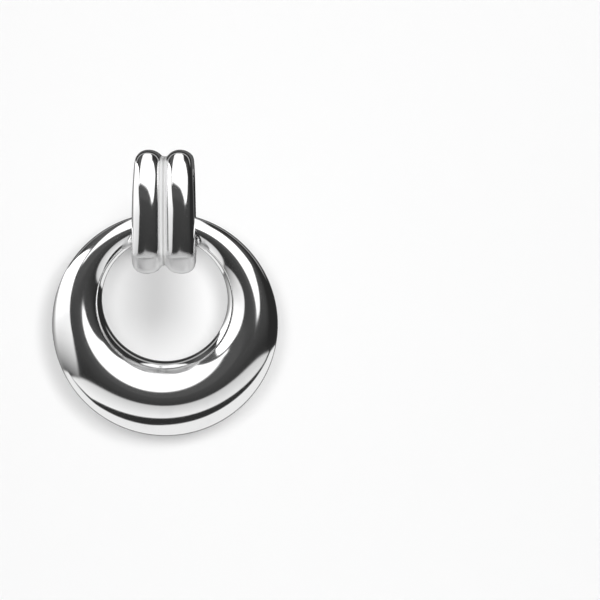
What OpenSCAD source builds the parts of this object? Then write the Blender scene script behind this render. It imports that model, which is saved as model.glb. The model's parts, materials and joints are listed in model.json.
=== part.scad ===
// A graduated hoop that hangs in a two-lobed bail, worn on a straight ear post.
// All lengths are in millimetres. X runs across the earring, -Y is its front and +Z is up.
// The origin is the middle of the post's foot, on the face that rests against the ear lobe.

/* [Hoop] */
// Radius of the hoop's outer outline
hoop_outer_r = 16; // [15:0.1:17]
// Radius of the hoop's hole
hoop_hole_r = 8.9; // [8.7:0.1:9.2]
// Radius of the tube at the top, inside the bail
hoop_thin_r = 1.75; // [1.6:0.05:1.8]
// Front-to-back depth of the tube as a share of its width
hoop_depth = 0.88; // [0.7:0.02:1]

/* [Bail] */
// Half of the width of each lobe of the bail
lobe_half_w = 1.97; // [1.9:0.01:2]
// Height of each lobe from its side to its crest
lobe_h = 1.9; // [1.7:0.05:2]
// Distance of each lobe's crest from the middle of the bail
lobe_x = 2.3; // [2.25:0.01:2.35]
// Squareness of the lobes down the front, where 2 is an ellipse
lobe_square = 2.8; // [2.4:0.1:3.2]
// Depth of the groove between the lobes
groove_depth = 1.4; // [1.2:0.05:1.6]

/* [Ear post] */
// Radius of the post
post_r = 0.4; // [0.35:0.05:0.45]
// Length of the post behind its foot
post_length = 10; // [9:0.5:11]
// Radius of the round foot
foot_r = 1.4; // [1:0.1:1.4]
// Thickness of the foot
foot_t = 0.5; // [0.4:0.1:0.8]
// Height of the post above the line that the hoop swings about
post_above_hinge = 5.7; // [5.65:0.05:5.8]

/* [Hidden] */
silver = [0.86, 0.87, 0.88];

// The hoop's tube grows evenly from hoop_thin_r at the top to its full width at the bottom.
// Its outline and its hole are two circles, and these three lengths describe the surface.
tube_mean_r = (hoop_outer_r - hoop_hole_r) / 2;
ring_mean_r = (hoop_outer_r + hoop_hole_r) / 2;
ring_shift = tube_mean_r - hoop_thin_r;
ring_b2 = pow(ring_mean_r, 2) - pow(ring_shift, 2);
hoop_steps_round = 84;
hoop_steps_tube = 32;

// Distance of the bail's flat back behind the line that the hoop swings about
back_at = 4.2;

// Places along the bail's loop, seen from the side and measured from the hinge line.
// front and up give the wall's inner side, crest_front and crest_up its outer side, lobe is 1
// where the wall has its two full lobes and 0 where it is flat, square is 1 where the lobes are
// at their squarest and 0 where they are round, and wide scales the wall's width.
// front, up, crest_front, crest_up, lobe, square, wide
stations = [
    [3.30, 0.00, 6.52, -0.80, 1.0, 1.00, 1.040],
    [3.25, -1.30, 6.50, -2.00, 1.0, 1.00, 1.050],
    [3.05, -2.15, 6.46, -3.00, 1.0, 1.00, 1.050],
    [2.70, -2.75, 6.41, -3.62, 1.0, 0.85, 1.060],
    [2.40, -3.05, 6.33, -3.88, 1.0, 0.85, 1.060],
    [2.05, -3.22, 6.10, -4.22, 1.0, 0.70, 1.060],
    [1.50, -3.33, 5.35, -5.20, 1.0, 0.45, 1.060],
    [0.60, -3.38, 3.90, -6.45, 1.0, 0.15, 1.060],
    [-0.60, -3.25, 0.80, -7.05, 1.0, 0.15, 1.050],
    [-2.33, -2.40, -3.30, -5.20, 0.6, 0.15, 1.040],
    [-3.20, -0.30, -back_at, -1.90, 0.1, 0.15, 1.030],
    [-3.10, 1.60, -back_at, 1.20, 0.0, 0.15, 1.020],
    [-3.05, 3.80, -back_at, 4.20, 0.0, 0.15, 1.010],
    [-2.80, 5.80, -back_at, 7.40, 0.0, 0.15, 1.000],
    [-2.30, 6.90, -back_at, 9.40, 0.0, 0.15, 0.980],
    [-1.70, 7.50, -3.20, 10.40, 0.8, 0.15, 0.970],
    [-0.90, 7.70, -0.60, 10.70, 1.0, 0.00, 0.960],
    [-0.20, 7.60, 1.40, 10.80, 1.0, 0.00, 0.960],
    [0.40, 7.30, 2.75, 10.75, 1.0, 0.00, 0.960],
    [0.90, 6.85, 3.75, 10.20, 1.0, 0.15, 0.970],
    [1.40, 6.20, 4.60, 9.25, 1.0, 0.45, 0.980],
    [1.95, 5.30, 5.30, 8.00, 1.0, 0.70, 0.990],
    [2.50, 4.20, 5.90, 6.50, 1.0, 0.85, 1.010],
    [2.95, 2.80, 6.27, 4.80, 1.0, 1.00, 1.020],
    [3.20, 1.40, 6.44, 2.90, 1.0, 1.00, 1.030],
    [3.30, 0.70, 6.51, 1.00, 1.0, 1.00, 1.035],
];
bail_steps_station = 3;
bail_steps_point = 2;

// Places round one lobe where its section has a guide point, from its side over its crest
lobe_angles = [0, 30, 60, 90, 120, 145, 160];
edge_round = 0.45;
// Squareness of the lobes where they are round, at the top of the loop
lobe_round = 2.1;

hinge_front = back_at + foot_t;
hinge_up = -post_above_hinge;

// Weights of four neighbouring guide points at share t of the way from the second to the third
function weights(t) = [
    pow(1 - t, 3),
    3 * pow(t, 3) - 6 * pow(t, 2) + 4,
    -3 * pow(t, 3) + 3 * pow(t, 2) + 3 * t + 1,
    pow(t, 3)
] / 6;

// A smooth closed curve through or near a list of points, at place s counted in points
function curve_at(points, s) =
    let (n = len(points), i = floor(s), w = weights(s - i))
    w[0] * points[(i + n - 1) % n] + w[1] * points[i % n]
    + w[2] * points[(i + 1) % n] + w[3] * points[(i + 2) % n];

// Half of the bail's outer section, from its side to the groove. Each point has its distance
// from the middle, how far it lies below the crest where the wall has lobes, and the same
// where the wall is flat.
function half_section(square) = [
    for (a = lobe_angles)
    let (across = sign(cos(a)) * pow(abs(cos(a)), 2 / square), high = pow(sin(a), 2 / square))
    [lobe_x + lobe_half_w * across, lobe_h * (1 - high), a == 0 ? edge_round : 0]
];
// The surface follows its guide points at a distance, as a bent batten does, so the guide point
// of the groove lies deeper than the groove.
function groove_drop(half) =
    let (crest_drop = half[2][1] / 3, shoulder_drop = half[len(half) - 1][1])
    (3 * (groove_depth + crest_drop) - shoulder_drop) / 2;
half_width = lobe_x + lobe_half_w;

// One closed ring of guide points at a station, as [across, front, up]
function section_at(station) =
    let (
        inner = [station[0], station[1]],
        crest = [station[2], station[3]],
        lobe = station[4],
        half = half_section(lobe_round + (lobe_square - lobe_round) * station[5]),
        wide = station[6],
        thick = norm(crest - inner),
        out = (crest - inner) / thick,
        place = function (across, height) [
            across * wide, (inner + out * height)[0], (inner + out * height)[1]],
        drop = function (p) lobe * p[1] + (1 - lobe) * p[2],
        last = len(half) - 1
    )
    concat(
        [for (p = half) place(p[0], thick - drop(p))],
        [place(0, thick - lobe * groove_drop(half))],
        [for (k = [last:-1:0]) place(-half[k][0], thick - drop(half[k]))],
        [
            place(-half_width, edge_round),
            place(-half_width + edge_round, 0),
            place(-half_width / 2, 0),
            place(0, 0),
            place(half_width / 2, 0),
            place(half_width - edge_round, 0),
            place(half_width, edge_round)
        ]
    );

// Triangles of a surface that closes on itself both ways, from a grid of rings
function ring_faces(rings, around) = [
    for (i = [0:rings - 1], j = [0:around - 1])
    let (
        a = i * around + j,
        b = i * around + (j + 1) % around,
        c = ((i + 1) % rings) * around + (j + 1) % around,
        d = ((i + 1) % rings) * around + j
    )
    each [[a, b, c], [a, c, d]]
];

// A point of the hoop's surface, at angle round of the ring and turn of the tube
function hoop_point(round, turn) =
    let (
        q = ring_mean_r - ring_shift * cos(round) * cos(turn),
        up = (tube_mean_r * (ring_shift - ring_mean_r * cos(round) * cos(turn))
            + ring_b2 * cos(round)) / q,
        across = sqrt(ring_b2) * sin(round) * (ring_mean_r - tube_mean_r * cos(turn)) / q,
        back = sqrt(ring_b2) * sin(turn) * (ring_shift * cos(round) - tube_mean_r) / q
    )
    [across, back * hoop_depth - hinge_front, up - ring_mean_r + hinge_up];

// The graduated hoop, hanging by its thin top
module hoop() {
    points = [
        for (i = [0:hoop_steps_round - 1], j = [0:hoop_steps_tube - 1])
        hoop_point(i * 360 / hoop_steps_round, j * 360 / hoop_steps_tube)
    ];
    color(silver)
    polyhedron(points, ring_faces(hoop_steps_round, hoop_steps_tube));
}

// The two-lobed loop, with a flat back for the post's foot
module bail() {
    guides = [for (k = [len(stations) - 1:-1:0]) section_at(stations[k])];
    rings = len(stations) * bail_steps_station;
    around = len(guides[0]) * bail_steps_point;
    points = [
        for (i = [0:rings - 1])
        let (ring = curve_at(guides, i / bail_steps_station))
        for (j = [0:around - 1])
        let (p = curve_at(ring, j / bail_steps_point))
        [p[0], -p[1] - hinge_front, p[2] + hinge_up]
    ];
    color(silver)
    polyhedron(points, ring_faces(rings, around));
}

// The straight post on its round foot
module ear_post() {
    tip = post_r / 2;
    color(silver)
    rotate([-90, 0, 0]) {
        cylinder(h = post_length - tip, r = post_r, $fn = 48);
        translate([0, 0, post_length - tip])
        cylinder(h = tip, r1 = post_r, r2 = post_r - tip, $fn = 48);
        translate([0, 0, -foot_t])
        cylinder(h = foot_t, r = foot_r, $fn = 64);
    }
}

hoop();
bail();
ear_post();
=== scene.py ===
"""Looks of the graduated hoop drop earring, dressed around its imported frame.

The hoop and the bail are smooth closed surfaces in mirror-polished silver. All positions are in
metres in the part's own frame: +X across, -Y to the earring's front and +Z up.
"""

import json
from math import atan2, cos, floor, hypot, radians, sin, sqrt, tau

import bmesh
import bpy
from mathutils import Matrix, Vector


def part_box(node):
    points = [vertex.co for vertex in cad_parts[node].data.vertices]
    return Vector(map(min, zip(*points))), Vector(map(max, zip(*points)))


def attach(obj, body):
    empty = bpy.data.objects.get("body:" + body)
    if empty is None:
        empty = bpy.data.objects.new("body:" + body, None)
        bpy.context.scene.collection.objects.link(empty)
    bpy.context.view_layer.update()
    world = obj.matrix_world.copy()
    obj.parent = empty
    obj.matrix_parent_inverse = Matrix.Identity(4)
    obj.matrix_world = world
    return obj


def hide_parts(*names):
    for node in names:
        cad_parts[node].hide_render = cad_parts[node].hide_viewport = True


bl_info = {
    "name": "Hoop drop earring",
    "version": (1, 0, 0),
    "blender": (4, 5, 0),
    "location": "3D View > Sidebar > Earring",
    "description": "Builds a polished graduated hoop in its two-lobed bail, with its studio",
    "category": "Object",
}

MM = 0.001

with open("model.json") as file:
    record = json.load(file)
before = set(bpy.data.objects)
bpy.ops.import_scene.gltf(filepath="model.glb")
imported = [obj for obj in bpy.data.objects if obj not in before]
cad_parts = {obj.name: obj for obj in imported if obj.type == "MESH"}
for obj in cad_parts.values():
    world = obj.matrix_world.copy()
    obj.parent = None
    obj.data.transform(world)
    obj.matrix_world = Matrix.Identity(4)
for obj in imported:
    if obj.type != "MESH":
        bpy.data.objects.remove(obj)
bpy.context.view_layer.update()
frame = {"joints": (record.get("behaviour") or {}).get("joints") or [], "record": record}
HINGE = Vector(frame["joints"][0]["pos_m"])

# Places along the bail's loop, from its front down and round, seen from the side and measured
# in millimetres from the hinge line. front and up give the wall's inner side, crest_front and
# crest_up its outer side, lobe is 1 where the wall has its two full lobes and 0 where it is
# flat, square is 1 where the lobes are at their squarest and 0 where they are round, and wide
# scales the wall's width.
# front, up, crest_front, crest_up, lobe, square, wide
BAIL_STATIONS = (
    (3.30, 0.00, 6.52, -0.80, 1.0, 1.00, 1.040),
    (3.25, -1.30, 6.50, -2.00, 1.0, 1.00, 1.050),
    (3.05, -2.15, 6.46, -3.00, 1.0, 1.00, 1.050),
    (2.70, -2.75, 6.41, -3.62, 1.0, 0.85, 1.060),
    (2.40, -3.05, 6.33, -3.88, 1.0, 0.85, 1.060),
    (2.05, -3.22, 6.10, -4.22, 1.0, 0.70, 1.060),
    (1.50, -3.33, 5.35, -5.20, 1.0, 0.45, 1.060),
    (0.60, -3.38, 3.90, -6.45, 1.0, 0.15, 1.060),
    (-0.60, -3.25, 0.80, -7.05, 1.0, 0.15, 1.050),
    (-2.33, -2.40, -3.30, -5.20, 0.6, 0.15, 1.040),
    (-3.20, -0.30, -4.20, -1.90, 0.1, 0.15, 1.030),
    (-3.10, 1.60, -4.20, 1.20, 0.0, 0.15, 1.020),
    (-3.05, 3.80, -4.20, 4.20, 0.0, 0.15, 1.010),
    (-2.80, 5.80, -4.20, 7.40, 0.0, 0.15, 1.000),
    (-2.30, 6.90, -4.20, 9.40, 0.0, 0.15, 0.980),
    (-1.70, 7.50, -3.20, 10.40, 0.8, 0.15, 0.970),
    (-0.90, 7.70, -0.60, 10.70, 1.0, 0.00, 0.960),
    (-0.20, 7.60, 1.40, 10.80, 1.0, 0.00, 0.960),
    (0.40, 7.30, 2.75, 10.75, 1.0, 0.00, 0.960),
    (0.90, 6.85, 3.75, 10.20, 1.0, 0.15, 0.970),
    (1.40, 6.20, 4.60, 9.25, 1.0, 0.45, 0.980),
    (1.95, 5.30, 5.30, 8.00, 1.0, 0.70, 0.990),
    (2.50, 4.20, 5.90, 6.50, 1.0, 0.85, 1.010),
    (2.95, 2.80, 6.27, 4.80, 1.0, 1.00, 1.020),
    (3.20, 1.40, 6.44, 2.90, 1.0, 1.00, 1.030),
    (3.30, 0.70, 6.51, 1.00, 1.0, 1.00, 1.035),
)
# Degrees round one lobe where its section has a guide point, from its side over its crest
LOBE_ANGLES = (0, 30, 60, 90, 120, 145, 160)

# The studio as a mirror ball in the earring's place shows it to the main camera. Its cards lie
# over a pale table, each over the ones before it: the corners across and up on the ball,
# counter-clockwise, then how soft the edge is and how bright the card is at its lowest and at
# its highest corner.
CARDS = {
    "dark_room": (
        ((-1.20, 0.10), (-0.72, -0.40), (-0.50, -0.61), (-0.30, -0.67), (-0.12, -0.69),
         (0.20, -0.63), (0.41, -0.55), (0.58, -0.46), (0.74, -0.33), (1.20, 0.30),
         (1.20, 1.20), (-1.20, 1.20)),
        0.014, 0.030, 0.030,
    ),
    "dark_side": (
        ((0.60, -0.33), (1.20, -0.16), (1.20, 1.20), (0.60, 1.20)),
        0.014, 0.024, 0.024,
    ),
    "grey_middle": (
        ((-0.45, -0.12), (0.20, -0.20), (0.56, -0.10), (0.56, 0.50), (-0.60, 0.75),
         (-0.60, 0.30)),
        0.120, 0.050, 0.110,
    ),
    "bounce": (
        ((-0.68, -0.43), (-0.50, -0.54), (-0.16, -0.515), (0.25, -0.46), (0.50, -0.41),
         (0.66, -0.35), (0.74, -0.27), (-0.05, -0.20)),
        0.014, 1.00, 0.60,
    ),
    "side": (
        ((-1.20, -0.40), (-0.75, -0.41), (-0.50, -0.37), (-0.32, -0.12), (-0.39, 0.30),
         (-0.50, 0.39), (-0.66, 0.44), (-0.90, 0.40), (-1.20, 0.20)),
        0.014, 0.08, 2.30,
    ),
    "side_tip": (
        ((-0.50, -0.37), (-0.24, -0.08), (-0.38, 0.15), (-0.52, 0.10)),
        0.014, 0.18, 1.54,
    ),
    "far_side": (
        ((-1.20, -0.60), (-0.86, -0.60), (-0.86, 0.60), (-1.20, 0.60)),
        0.080, 0.33, 0.33,
    ),
    "overhead": (
        ((-0.34, 0.17), (0.17, -0.05), (0.27, -0.03), (0.36, 0.06), (0.48, 0.27),
         (0.36, 0.50), (0.24, 0.60), (-0.33, 0.60), (-0.35, 0.36)),
        0.014, 1.30, 1.30,
    ),
    "overhead_back": (
        ((-0.33, 0.56), (0.28, 0.56), (0.26, 0.76), (0.15, 0.86), (-0.18, 0.86),
         (-0.30, 0.76)),
        0.020, 1.10, 1.10,
    ),
    "lens": (
        ((-0.30, 0.02), (0.19, -0.05), (0.04, 0.10), (-0.10, 0.155), (-0.29, 0.19)),
        0.022, 0.085, 0.085,
    ),
}

# Round lamps that light the wall and that metal doesn't mirror: millimetres to the camera's
# right, above it, behind it and across the lamp, then its watts and the one piece that throws
# its shadow
LAMPS = (
    ("lamp_right", 21, 14, 0, 34, 0.88, "hoop_shell"),
    ("lamp_left", -16, 11, 0, 28, 0.58, "hoop_shell"),
    ("lamp_top", 190, 640, 2000, 560, 28.6, "bail_shell"),
)


class HoopSettings(bpy.types.PropertyGroup):
    """Sizes of the hoop."""

    outer_radius: bpy.props.FloatProperty(
        name="Outer radius", description="Radius of the hoop's outer outline",
        default=16 * MM, unit="LENGTH")
    hole_radius: bpy.props.FloatProperty(
        name="Hole radius", description="Radius of the hoop's hole",
        default=8.9 * MM, unit="LENGTH")
    thin_radius: bpy.props.FloatProperty(
        name="Thin radius", description="Radius of the tube at the top, inside the bail",
        default=1.75 * MM, unit="LENGTH")
    depth_share: bpy.props.FloatProperty(
        name="Depth share", description="Depth of the tube as a share of its width",
        default=0.88, subtype="FACTOR")
    steps_round: bpy.props.IntProperty(
        name="Steps round", description="Steps round the ring", default=288)
    steps_tube: bpy.props.IntProperty(
        name="Steps of the tube", description="Steps round the tube", default=144)


class BailSettings(bpy.types.PropertyGroup):
    """Sizes of the bail's section."""

    lobe_half_width: bpy.props.FloatProperty(
        name="Lobe half width", description="Half of the width of each lobe",
        default=1.97 * MM, unit="LENGTH")
    lobe_height: bpy.props.FloatProperty(
        name="Lobe height", description="Height of each lobe from its side to its crest",
        default=1.9 * MM, unit="LENGTH")
    lobe_offset: bpy.props.FloatProperty(
        name="Lobe offset", description="Distance of each crest from the middle",
        default=2.3 * MM, unit="LENGTH")
    lobe_square: bpy.props.FloatProperty(
        name="Front squareness",
        description="Squareness of the lobes down the front, where 2 is an ellipse",
        default=2.8)
    lobe_round: bpy.props.FloatProperty(
        name="Top squareness",
        description="Squareness of the lobes at the top, where 2 is an ellipse", default=2.1)
    groove_depth: bpy.props.FloatProperty(
        name="Groove depth", description="Depth of the groove between the lobes",
        default=1.4 * MM, unit="LENGTH")
    edge_round: bpy.props.FloatProperty(
        name="Edge rounding", description="Rounding of the inner edges",
        default=0.45 * MM, unit="LENGTH")
    subdivisions: bpy.props.IntProperty(
        name="Subdivisions", description="Levels of smoothing", default=3)


class PostSettings(bpy.types.PropertyGroup):
    """Small radii of the ear post, whose main sizes are the CAD's."""

    foot_edge: bpy.props.FloatProperty(
        name="Foot edge", description="Rounding of the foot's rim",
        default=0.12 * MM, unit="LENGTH")
    tip_round: bpy.props.FloatProperty(
        name="Tip rounding", description="Rounding of the post's tip",
        default=0.2 * MM, unit="LENGTH")
    solder_radius: bpy.props.FloatProperty(
        name="Solder fillet", description="Radius of the fillet where the post meets its foot",
        default=0.25 * MM, unit="LENGTH")
    steps: bpy.props.IntProperty(
        name="Steps", description="Steps round the post", default=96)


class SilverSettings(bpy.types.PropertyGroup):
    """Finish of the polished silver."""

    colour: bpy.props.FloatVectorProperty(
        name="Colour", description="Colour of clean silver", subtype="COLOR",
        size=3, default=(0.93, 0.93, 0.93))
    worn_colour: bpy.props.FloatVectorProperty(
        name="Handled colour", description="Colour where polish has dulled a little",
        subtype="COLOR", size=3, default=(0.88, 0.88, 0.885))
    roughness: bpy.props.FloatProperty(
        name="Roughness", description="Roughness of the brightest polish",
        default=0.08, subtype="FACTOR")
    mark_roughness: bpy.props.FloatProperty(
        name="Mark roughness", description="Added roughness in the finest polishing marks",
        default=0.035, subtype="FACTOR")
    mark_scale: bpy.props.FloatProperty(
        name="Mark scale", description="Number of fine marks in a metre", default=5200)
    cloud_scale: bpy.props.FloatProperty(
        name="Cloud scale", description="Number of dull clouds in a metre", default=260)
    wave_scale: bpy.props.FloatProperty(
        name="Wave scale", description="Number of polishing waves in a metre", default=150)
    mark_share: bpy.props.FloatProperty(
        name="Mark share", description="Share of the added roughness that lies in the marks",
        default=0.6, subtype="FACTOR")
    wave_height: bpy.props.FloatProperty(
        name="Hand polish", description="Height of the faint waves that hand polishing leaves",
        default=0.004 * MM, unit="LENGTH")
    satin_colour: bpy.props.FloatVectorProperty(
        name="Satin colour", description="Colour of the unpolished groove", subtype="COLOR",
        size=3, default=(0.90, 0.90, 0.90))
    # Painted shade: this colour darkens the bottom of the groove on the bail's front, as shade in
    # the recess would.
    painted_shade_colour: bpy.props.FloatVectorProperty(
        name="Groove line colour", description="Colour of the shade deep in the groove",
        subtype="COLOR", size=3, default=(0.50, 0.50, 0.50))
    faded_roughness: bpy.props.FloatProperty(
        name="Faded roughness", description="Roughness beside the groove, where polish fades",
        default=0.25, subtype="FACTOR")
    under_roughness: bpy.props.FloatProperty(
        name="Underside roughness", description="Roughness of the bail's underside",
        default=0.42, subtype="FACTOR")
    satin_roughness: bpy.props.FloatProperty(
        name="Satin roughness", description="Roughness of the unpolished groove",
        default=0.45, subtype="FACTOR")
    satin_metallic: bpy.props.FloatProperty(
        name="Satin metallic", description="How metallic the groove's satin skin is",
        default=0.25, subtype="FACTOR")


class StudioSettings(bpy.types.PropertyGroup):
    """The camera, the backdrop and its light."""

    elevation: bpy.props.FloatProperty(
        name="Elevation", description="Angle of the camera above the earring's front",
        default=radians(9), subtype="ANGLE")
    lens: bpy.props.FloatProperty(
        name="Lens", description="Focal length in millimetres", default=200, unit="CAMERA")
    half_view: bpy.props.FloatProperty(
        name="Half view", description="Half of the width that the camera sees at the hoop",
        default=42.48 * MM, unit="LENGTH")
    aim: bpy.props.FloatVectorProperty(
        name="Aim", description="Point at the middle of the picture", subtype="XYZ",
        unit="LENGTH", size=3, default=(19.13 * MM, -4.7 * MM, -16.42 * MM))
    wall_y: bpy.props.FloatProperty(
        name="Wall", description="Place of the backdrop, clear of the hoop's swing",
        default=32 * MM, unit="LENGTH")
    wall_size: bpy.props.FloatProperty(
        name="Wall size", description="Width of the backdrop",
        default=1600 * MM, unit="LENGTH")
    wall_bend: bpy.props.FloatProperty(
        name="Wall bend", description="Radius of the bend from the wall into the floor",
        default=100 * MM, unit="LENGTH")
    floor_z: bpy.props.FloatProperty(
        name="Floor", description="Height of the floor", default=-190 * MM, unit="LENGTH")
    wall_colour: bpy.props.FloatVectorProperty(
        name="Wall colour", description="Colour of the backdrop and the floor",
        subtype="COLOR", size=3, default=(0.93, 0.93, 0.93))
    pale: bpy.props.FloatProperty(
        name="Pale level", description="How bright the camera sees the floor and the open studio",
        default=0.95)


def closed_tube(name, rings, points, place):
    """A tube bent round on itself: a spun circle whose vertices each go where place says.

    place takes the two shares of a turn, round the ring and round the tube.
    """
    ring_radius, tube_radius, seam = 2.0, 1.0, 1e-5  # of the plain ring, before place moves it
    bm = bmesh.new()
    start = [bm.verts.new((0, -tube_radius * sin(tau * k / points),
                           ring_radius - tube_radius * cos(tau * k / points)))
             for k in range(points)]
    edges = [bm.edges.new((start[k], start[(k + 1) % points])) for k in range(points)]
    bmesh.ops.spin(bm, geom=start + edges, cent=(0, 0, 0), axis=(0, 1, 0), dvec=(0, 0, 0),
                   angle=tau, steps=rings, use_merge=True)
    bmesh.ops.remove_doubles(bm, verts=bm.verts, dist=seam)
    for vert in bm.verts:
        x, y, z = vert.co
        round_share = (atan2(x, z) / tau) % 1
        turn_share = (atan2(-y, ring_radius - hypot(x, z)) / tau) % 1
        vert.co = place(round_share, turn_share)
    bmesh.ops.recalc_face_normals(bm, faces=bm.faces)
    return piece_from(bm, name)


def piece_from(bm, name):
    """A smooth mesh object made from a bmesh, with its place in its mesh."""
    for face in bm.faces:
        face.smooth = True
    mesh = bpy.data.meshes.new(name)
    bm.to_mesh(mesh)
    bm.free()
    piece = bpy.data.objects.new(name, mesh)
    bpy.context.scene.collection.objects.link(piece)
    return piece


def dress(piece, body, node, material):
    """Puts a finished piece on its body, in place of its CAD node."""
    piece.data.materials.append(material)
    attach(piece, body)
    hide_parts(node)


def add_node(tree, kind, inputs=None, **settings):
    """A new shader node with its settings and the values of its named or numbered inputs."""
    node = tree.nodes.new(kind)
    for key, value in settings.items():
        setattr(node, key, value)
    for key, value in (inputs or {}).items():
        if isinstance(value, bpy.types.NodeSocket):
            tree.links.new(value, node.inputs[key])
        else:
            node.inputs[key].default_value = value
    return node


def math_node(tree, operation, *values, clamp=False):
    """The result of one Math node."""
    node = add_node(tree, "ShaderNodeMath", dict(enumerate(values)), operation=operation,
                    use_clamp=clamp)
    return node.outputs[0]


def polish_group(silver):
    """Node group: the fine marks, clouds and waves that hand polishing leaves on metal."""
    name = "hand_polish"
    if name in bpy.data.node_groups:
        return bpy.data.node_groups[name]
    group = bpy.data.node_groups.new(name, "ShaderNodeTree")
    for socket, kind, default in (
            ("Vector", "NodeSocketVector", None),
            ("Roughness", "NodeSocketFloat", silver.roughness),
            ("Mark Roughness", "NodeSocketFloat", silver.mark_roughness),
            ("Clean", "NodeSocketColor", (*silver.colour, 1)),
            ("Handled", "NodeSocketColor", (*silver.worn_colour, 1))):
        item = group.interface.new_socket(socket, in_out="INPUT", socket_type=kind)
        if default is not None:
            item.default_value = default
    for socket, kind in (("Color", "NodeSocketColor"), ("Roughness", "NodeSocketFloat"),
                         ("Waves", "NodeSocketFloat")):
        group.interface.new_socket(socket, in_out="OUTPUT", socket_type=kind)
    inside = group.nodes.new("NodeGroupInput").outputs
    outside = group.nodes.new("NodeGroupOutput").inputs
    marks, clouds, waves = (
        add_node(group, "ShaderNodeTexNoise",
                 {"Vector": inside["Vector"], "Scale": scale, "Detail": detail}).outputs["Fac"]
        for scale, detail in ((silver.mark_scale, 3), (silver.cloud_scale, 2),
                              (silver.wave_scale, 0)))
    fine, dull = ramp(group, marks, 0.45, 0.75), ramp(group, clouds, 0.5, 0.8)
    both = math_node(group, "ADD", math_node(group, "MULTIPLY", fine, silver.mark_share),
                     math_node(group, "MULTIPLY", dull, 1 - silver.mark_share), clamp=True)
    added = math_node(group, "MULTIPLY", both, inside["Mark Roughness"])
    colour = add_node(group, "ShaderNodeMix",
                      {0: dull, 6: inside["Clean"], 7: inside["Handled"]}, data_type="RGBA")
    group.links.new(colour.outputs[2], outside["Color"])
    group.links.new(math_node(group, "ADD", inside["Roughness"], added), outside["Roughness"])
    group.links.new(waves, outside["Waves"])
    return group


def ramp(tree, value, start, end):
    """0 before start and 1 after end, with a smooth step between them."""
    if start > end:
        return math_node(tree, "SUBTRACT", 1, ramp(tree, value, end, start))
    return add_node(tree, "ShaderNodeMapRange", {0: value, 1: start, 2: end, 3: 0, 4: 1},
                    interpolation_type="SMOOTHSTEP").outputs[0]


def bail_masks(tree, place):
    """Where the bail's groove is satin, where polish fades, its dark line of painted shade and
    its underside.

    Each mask of the groove is full within its inner distance from the middle and ends at its
    outer one. The groove shows from the bail's front up over its top, not on its back.
    """
    # The third pair of distances bounds the line of painted shade in the groove's bottom.
    satin_edge, faded_edge, painted_shade_edge = (0.34, 0.50), (0.50, 0.95), (0.04, 0.26)
    front_full, front_end = -2.4, -1.6
    under_top, under_full = -8.5, -9.5
    parts = add_node(tree, "ShaderNodeSeparateXYZ", {0: place}).outputs
    side = math_node(tree, "ABSOLUTE", parts["X"])
    front = ramp(tree, parts["Y"], front_end * MM, front_full * MM)
    satin, faded, line = (
        math_node(tree, "MULTIPLY", ramp(tree, side, outer * MM, inner * MM), front)
        for inner, outer in (satin_edge, faded_edge, painted_shade_edge))
    under = ramp(tree, parts["Z"], under_top * MM, under_full * MM)
    return satin, faded, line, under


def silver_material(name, stretch, has_groove=False):
    """Mirror-polished silver whose marks run along the axis that stretch shortens.

    A groove that the polishing wheel doesn't reach keeps a pale satin skin.
    """
    silver = bpy.context.scene.earring_silver
    material = bpy.data.materials.new(name)
    material.use_nodes = True
    tree = material.node_tree
    shader = tree.nodes["Principled BSDF"]
    shader.inputs["Metallic"].default_value = 1
    place = add_node(tree, "ShaderNodeTexCoord").outputs["Object"]
    along = add_node(tree, "ShaderNodeMapping", {"Vector": place, "Scale": stretch})
    polish = add_node(tree, "ShaderNodeGroup", node_tree=polish_group(silver))
    tree.links.new(along.outputs[0], polish.inputs["Vector"])
    polish.inputs["Roughness"].default_value = silver.roughness
    polish.inputs["Mark Roughness"].default_value = silver.mark_roughness
    polish.inputs["Clean"].default_value = (*silver.colour, 1)
    polish.inputs["Handled"].default_value = (*silver.worn_colour, 1)
    bump = add_node(tree, "ShaderNodeBump",
                    {"Height": polish.outputs["Waves"], "Distance": silver.wave_height})
    colour, roughness = polish.outputs["Color"], polish.outputs["Roughness"]
    if has_groove:
        satin, faded, line, under = bail_masks(tree, place)
        # The second mask paints shade into the bottom of the groove.
        for mask, tone in ((satin, silver.satin_colour), (line, silver.painted_shade_colour)):
            colour = add_node(tree, "ShaderNodeMix", {0: mask, 6: colour, 7: (*tone, 1)},
                              data_type="RGBA").outputs[2]
        roughness = mixed(tree, roughness, faded, silver.faded_roughness)
        roughness = mixed(tree, roughness, under, silver.under_roughness)
        roughness = mixed(tree, roughness, satin, silver.satin_roughness)
        tree.links.new(mixed(tree, 1, satin, silver.satin_metallic), shader.inputs["Metallic"])
    tree.links.new(colour, shader.inputs["Base Color"])
    tree.links.new(roughness, shader.inputs["Roughness"])
    tree.links.new(bump.outputs[0], shader.inputs["Normal"])
    return material


def bail_section(bail, square):
    """Half of the bail's outer section, from its side to the groove, and the groove's depth.

    Each point has its distance from the middle, how far it lies below the crest where the wall
    has lobes, and the same where the wall is flat.
    """
    power = 2 / (bail.lobe_round + (bail.lobe_square - bail.lobe_round) * square)
    half = []
    for angle in LOBE_ANGLES:
        along, high = cos(radians(angle)), sin(radians(angle)) ** power
        side = 1 if along > 0 else -1
        half.append((bail.lobe_offset + side * bail.lobe_half_width * abs(along) ** power,
                     bail.lobe_height * (1 - high), bail.edge_round if angle == 0 else 0))
    # The smoothed wall lies at two thirds of a guide point and a sixth of each neighbour
    crest_drop = half[2][1] / 3
    groove_drop = (3 * (bail.groove_depth + crest_drop) - half[-1][1]) / 2
    return half, groove_drop


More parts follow.
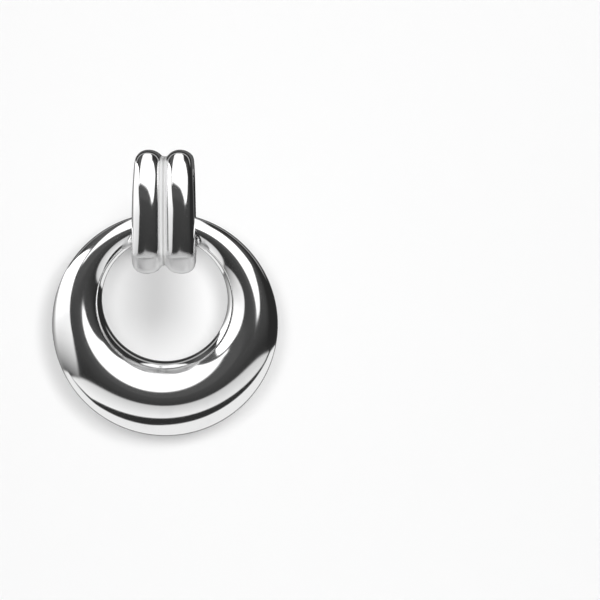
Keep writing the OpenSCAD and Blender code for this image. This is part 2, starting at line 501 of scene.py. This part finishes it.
def bail_cage(bail):
    """Closed rings of guide points, one for each station of the bail's loop."""
    half_width = bail.lobe_offset + bail.lobe_half_width
    rings = []
    for front, up, crest_front, crest_up, lobe, square, wide in BAIL_STATIONS:
        half, groove_drop = bail_section(bail, square)
        inner = Vector((0, -front, up)) * MM
        wall = Vector((0, -crest_front, crest_up)) * MM - inner
        thick, out = wall.length, wall.normalized()
        outer = [(across, thick - lobe * drop - (1 - lobe) * flat_drop)
                 for across, drop, flat_drop in half]
        mirrored = [(-across, height) for across, height in reversed(outer)]
        middle = [(0, thick - lobe * groove_drop)]
        inside = [(-half_width, bail.edge_round), (-half_width + bail.edge_round, 0),
                  (-half_width / 2, 0), (0, 0), (half_width / 2, 0),
                  (half_width - bail.edge_round, 0), (half_width, bail.edge_round)]
        rings.append([HINGE + inner + out * height + Vector((across * wide, 0, 0))
                      for across, height in outer + middle + mirrored + inside])
    return rings


class EARRING_OT_hoop(bpy.types.Operator):
    """Make the graduated hoop, whose outline and hole are two circles"""

    bl_idname = "earring.hoop"
    bl_label = "Make the hoop"

    def execute(self, context):
        hoop = context.scene.earring_hoop
        tube_mean = (hoop.outer_radius - hoop.hole_radius) / 2
        ring_mean = (hoop.outer_radius + hoop.hole_radius) / 2
        shift = tube_mean - hoop.thin_radius
        minor_squared = ring_mean ** 2 - shift ** 2

        def place(round_share, turn_share):
            """A point of the cyclide, a tube that grows evenly from the top to the bottom."""
            cos_r, sin_r = cos(tau * round_share), sin(tau * round_share)
            cos_t, sin_t = cos(tau * turn_share), sin(tau * turn_share)
            divisor = ring_mean - shift * cos_r * cos_t
            up = (tube_mean * (shift - ring_mean * cos_r * cos_t)
                  + minor_squared * cos_r) / divisor
            across = sqrt(minor_squared) * sin_r * (ring_mean - tube_mean * cos_t) / divisor
            back = sqrt(minor_squared) * sin_t * (shift * cos_r - tube_mean) / divisor
            return HINGE + Vector((across, back * hoop.depth_share, up - ring_mean))

        piece = closed_tube("hoop_shell", hoop.steps_round, hoop.steps_tube, place)
        dress(piece, "hoop", "hoop", silver_material("hoop_silver", (1, 1, 1)))
        return {"FINISHED"}


class EARRING_OT_bail(bpy.types.Operator):
    """Make the two-lobed bail that the hoop hangs in"""

    bl_idname = "earring.bail"
    bl_label = "Make the bail"

    def execute(self, context):
        bail = context.scene.earring_bail
        rings = bail_cage(bail)
        stations, points = len(rings), len(rings[0])

        def place(round_share, turn_share):
            """The guide point of the nearest station and place in its section."""
            station = floor(round_share * stations + 0.5) % stations
            point = floor(turn_share * points + 0.5) % points
            return rings[station][point]

        piece = closed_tube("bail_shell", stations, points, place)
        smooth = piece.modifiers.new("smooth", "SUBSURF")
        smooth.levels = smooth.render_levels = bail.subdivisions
        dress(piece, "bail", "bail",
              silver_material("bail_silver", (1, 1, 0.25), has_groove=True))
        return {"FINISHED"}


class EARRING_OT_ear_post(bpy.types.Operator):
    """Make the straight ear post on its round foot"""

    bl_idname = "earring.ear_post"
    bl_label = "Make the ear post"

    def execute(self, context):
        post = context.scene.earring_post
        low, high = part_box("ear_post")
        foot_radius, tip = high.x, high.y
        post_radius = frame["record"]["mounts"][1]["dims"]["r_mm"] * MM
        # distance from the post's axis, place along it and the kind of rounding
        corners = ((0, low.y, 0), (foot_radius, low.y, 1), (foot_radius, 0, 1),
                   (post_radius, 0, 2), (post_radius, tip, 3), (0, tip, 0))
        rounding = {1: post.foot_edge, 2: post.solder_radius, 3: post.tip_round}
        bevel_steps, seam = 6, 0.001 * MM
        bm = bmesh.new()
        line = [bm.verts.new((x, y, 0)) for x, y, kind in corners]
        for a, b in zip(line, line[1:]):
            bm.edges.new((a, b))
        for kind, radius in rounding.items():
            chosen = [vert for vert, corner in zip(line, corners) if corner[2] == kind]
            bmesh.ops.bevel(bm, geom=chosen, offset=radius, offset_type="OFFSET",
                            affect="VERTICES", segments=bevel_steps, profile=0.5,
                            material=-1)
        bmesh.ops.spin(bm, geom=bm.verts[:] + bm.edges[:], cent=(0, 0, 0), axis=(0, 1, 0),
                       dvec=(0, 0, 0), angle=tau, steps=post.steps, use_merge=True)
        bmesh.ops.remove_doubles(bm, verts=bm.verts, dist=seam)
        bmesh.ops.recalc_face_normals(bm, faces=bm.faces)
        piece = piece_from(bm, "ear_post_turned")
        dress(piece, "bail", "ear_post", silver_material("post_silver", (1, 0.2, 1)))
        return {"FINISHED"}


def ball_place(tree, camera):
    """Across and up on the mirror ball where the main camera sees each direction."""
    turn = camera.matrix_world.to_3x3()
    across, up, back = (turn.col[k].normalized() for k in range(3))
    ray = add_node(tree, "ShaderNodeTexCoord").outputs["Generated"]
    half = add_node(tree, "ShaderNodeVectorMath", {0: ray, 1: back}, operation="ADD")
    ball = add_node(tree, "ShaderNodeVectorMath", {0: half.outputs[0]}, operation="NORMALIZE")
    return [add_node(tree, "ShaderNodeVectorMath", {0: ball.outputs[0], 1: axis},
                     operation="DOT_PRODUCT").outputs["Value"] for axis in (across, up)]


def card_mask(tree, across, up, corners, softness):
    """1 inside a light card's corners and 0 outside, with a soft edge."""
    mask = None
    for (x0, z0), (x1, z1) in zip(corners, corners[1:] + corners[:1]):
        length = hypot(x1 - x0, z1 - z0)
        in_x, in_z = -(z1 - z0) / length, (x1 - x0) / length
        depth = math_node(tree, "ADD", math_node(tree, "MULTIPLY", across, in_x),
                          math_node(tree, "MULTIPLY_ADD", up, in_z, -in_x * x0 - in_z * z0))
        edge = ramp(tree, depth, -softness, softness)
        mask = edge if mask is None else math_node(tree, "MULTIPLY", mask, edge)
    return mask


def mixed(tree, below, mask, level):
    """below where mask is 0 and level where mask is 1."""
    return add_node(tree, "ShaderNodeMix", {0: mask, 2: below, 3: level}).outputs[0]


def build_world(context, camera):
    """The studio that polished metal mirrors, and plain pale light for everything else."""
    table, arc, far_rim = 0.88, 0.45, 0.11  # levels that metal mirrors
    ambient, pale = 0.03, context.scene.earring_studio.pale  # for matt things and the camera
    arc_inner, arc_outer, arc_low = (0.86, 0.88), (0.90, 0.92), (0.30, 0.45)  # soft edges
    rim_edge = (0.96, 0.985)
    world = bpy.data.worlds.new("studio")
    context.scene.world = world
    world.use_nodes = True
    tree = world.node_tree
    across, up = ball_place(tree, camera)
    level = table
    for corners, softness, low_level, high_level in CARDS.values():
        heights = [z for x, z in corners]
        bright = add_node(tree, "ShaderNodeMapRange", {
            0: up, 1: min(heights), 2: max(heights), 3: low_level, 4: high_level}).outputs[0]
        level = mixed(tree, level, card_mask(tree, across, up, corners, softness), bright)
    radius = math_node(tree, "SQRT", math_node(
        tree, "ADD", math_node(tree, "MULTIPLY", across, across),
        math_node(tree, "MULTIPLY", up, up)))
    ring = math_node(tree, "SUBTRACT", ramp(tree, radius, *arc_inner),
                     ramp(tree, radius, *arc_outer))
    arc_mask = math_node(tree, "MULTIPLY", ring, ramp(tree, up, *arc_low))
    level = mixed(tree, level, arc_mask, arc)
    level = mixed(tree, level, ramp(tree, radius, *rim_edge), far_rim)
    ray = add_node(tree, "ShaderNodeLightPath").outputs
    seen = mixed(tree, mixed(tree, ambient, ray["Is Glossy Ray"], level), ray["Is Camera Ray"],
                 pale)
    tree.links.new(seen, tree.nodes["Background"].inputs["Color"])


def backdrop_material(colour):
    """Matt pale paper that shows from its front only."""
    material = bpy.data.materials.new("backdrop_paper")
    material.use_nodes = True
    tree = material.node_tree
    paper = tree.nodes["Principled BSDF"]
    paper.inputs["Base Color"].default_value = (*colour, 1)
    paper.inputs["Roughness"].default_value = 1
    paper.inputs["Specular IOR Level"].default_value = 0
    clear = add_node(tree, "ShaderNodeBsdfTransparent")
    back = add_node(tree, "ShaderNodeNewGeometry").outputs["Backfacing"]
    mix = add_node(tree, "ShaderNodeMixShader",
                   {0: back, 1: paper.outputs[0], 2: clear.outputs[0]})
    tree.links.new(mix.outputs[0], tree.nodes["Material Output"].inputs["Surface"])
    return material


def floor_material(level):
    """An evenly pale floor that shows from above only, and only to the camera."""
    material = bpy.data.materials.new("floor_paper")
    material.use_nodes = True
    material.cycles.emission_sampling = "NONE"
    tree = material.node_tree
    paper = add_node(tree, "ShaderNodeEmission", {"Color": (level, level, level, 1)})
    clear = add_node(tree, "ShaderNodeBsdfTransparent")
    back = add_node(tree, "ShaderNodeNewGeometry").outputs["Backfacing"]
    seen = math_node(tree, "SUBTRACT",
                     add_node(tree, "ShaderNodeLightPath").outputs["Is Camera Ray"], back,
                     clamp=True)
    mix = add_node(tree, "ShaderNodeMixShader",
                   {0: seen, 1: clear.outputs[0], 2: paper.outputs[0]})
    tree.links.new(mix.outputs[0], tree.nodes["Material Output"].inputs["Surface"])
    return material


def build_backdrop(studio):
    """A pale wall that curves into a pale floor, faces towards the earring."""
    half, bend_steps, flat_normal = studio.wall_size / 2, 16, 0.9999
    bm = bmesh.new()
    line = [bm.verts.new((-half, studio.wall_y - half, studio.floor_z)),
            bm.verts.new((-half, studio.wall_y, studio.floor_z)),
            bm.verts.new((-half, studio.wall_y, half))]
    for a, b in zip(line, line[1:]):
        bm.edges.new((a, b))
    bmesh.ops.bevel(bm, geom=[line[1]], offset=studio.wall_bend, offset_type="OFFSET",
                    affect="VERTICES", segments=bend_steps, profile=0.5, material=-1)
    drawn = bmesh.ops.extrude_edge_only(bm, edges=bm.edges[:])
    moved = [item for item in drawn["geom"] if isinstance(item, bmesh.types.BMVert)]
    bmesh.ops.translate(bm, verts=moved, vec=(2 * half, 0, 0))
    bmesh.ops.recalc_face_normals(bm, faces=bm.faces)
    if max(bm.faces, key=lambda face: face.calc_area()).normal.dot(Vector((0, -1, 1))) < 0:
        bmesh.ops.reverse_faces(bm, faces=bm.faces)
    for face in bm.faces:
        face.material_index = 1 if face.normal.z > flat_normal else 0
    wall = piece_from(bm, "backdrop")
    wall.data.materials.append(backdrop_material(studio.wall_colour))
    wall.data.materials.append(floor_material(studio.pale))
    wall.visible_glossy = False


def add_lamp(context, camera, aim, name, right, above, behind, width, watts, blocker):
    """A round lamp placed from the camera, with one piece that throws its shadow."""
    data = bpy.data.lights.new(name, "AREA")
    data.shape = "DISK"
    data.size = width * MM
    data.energy = watts
    light = bpy.data.objects.new(name, data)
    context.scene.collection.objects.link(light)
    light.location = camera.matrix_world @ (Vector((right, above, behind)) * MM)
    light.rotation_euler = (aim - light.location).to_track_quat("-Z", "Y").to_euler()
    light.visible_glossy = False
    light.visible_camera = False
    blockers = bpy.data.collections.new(name + "_blockers")
    blockers.objects.link(bpy.data.objects[blocker])
    light.light_linking.blocker_collection = blockers


class EARRING_OT_stage(bpy.types.Operator):
    """Set up the camera, the pale wall and floor, and the soft studio light"""

    bl_idname = "earring.stage"
    bl_label = "Set up the studio"

    def execute(self, context):
        studio = context.scene.earring_studio
        data = bpy.data.cameras.new("camera")
        data.lens = studio.lens
        data.clip_start, data.clip_end = 10 * MM, 10000 * MM
        camera = bpy.data.objects.new("camera", data)
        context.scene.collection.objects.link(camera)
        context.scene.camera = camera
        aim = Vector(studio.aim)
        away = studio.half_view * 2 * studio.lens / data.sensor_width
        back = Vector((0, -cos(studio.elevation), sin(studio.elevation)))
        camera.location = aim + back * away
        camera.rotation_euler = (-back).to_track_quat("-Z", "Y").to_euler()
        context.view_layer.update()
        context.scene.view_settings.view_transform = "Standard"
        build_backdrop(studio)
        build_world(context, camera)
        for lamp in LAMPS:
            add_lamp(context, camera, aim, *lamp)
        return {"FINISHED"}


class EARRING_PT_panel(bpy.types.Panel):
    """Lists the earring's operators in the sidebar"""

    bl_label = "Hoop drop earring"
    bl_space_type = "VIEW_3D"
    bl_region_type = "UI"
    bl_category = "Earring"

    def draw(self, context):
        scene = context.scene
        for operator, settings in (
                ("earring.hoop", scene.earring_hoop), ("earring.bail", scene.earring_bail),
                ("earring.ear_post", scene.earring_post), (None, scene.earring_silver),
                ("earring.stage", scene.earring_studio)):
            box = self.layout.box()
            if operator:
                box.operator(operator)
            else:
                box.label(text="Finish of the silver")
            for name in settings.bl_rna.properties.keys():
                if name not in ("rna_type", "name"):
                    box.prop(settings, name)


SETTINGS = {
    "earring_hoop": HoopSettings,
    "earring_bail": BailSettings,
    "earring_post": PostSettings,
    "earring_silver": SilverSettings,
    "earring_studio": StudioSettings,
}
CLASSES = (*SETTINGS.values(), EARRING_OT_hoop, EARRING_OT_bail, EARRING_OT_ear_post,
           EARRING_OT_stage, EARRING_PT_panel)


def register():
    for item in CLASSES:
        bpy.utils.register_class(item)
    for name, group in SETTINGS.items():
        setattr(bpy.types.Scene, name, bpy.props.PointerProperty(type=group))


def unregister():
    for name in SETTINGS:
        delattr(bpy.types.Scene, name)
    for item in reversed(CLASSES):
        bpy.utils.unregister_class(item)


def main():
    register()
    bpy.ops.earring.hoop()
    bpy.ops.earring.bail()
    bpy.ops.earring.ear_post()
    bpy.ops.earring.stage()
    bpy.context.view_layer.update()


if __name__ == "__main__":
    main()
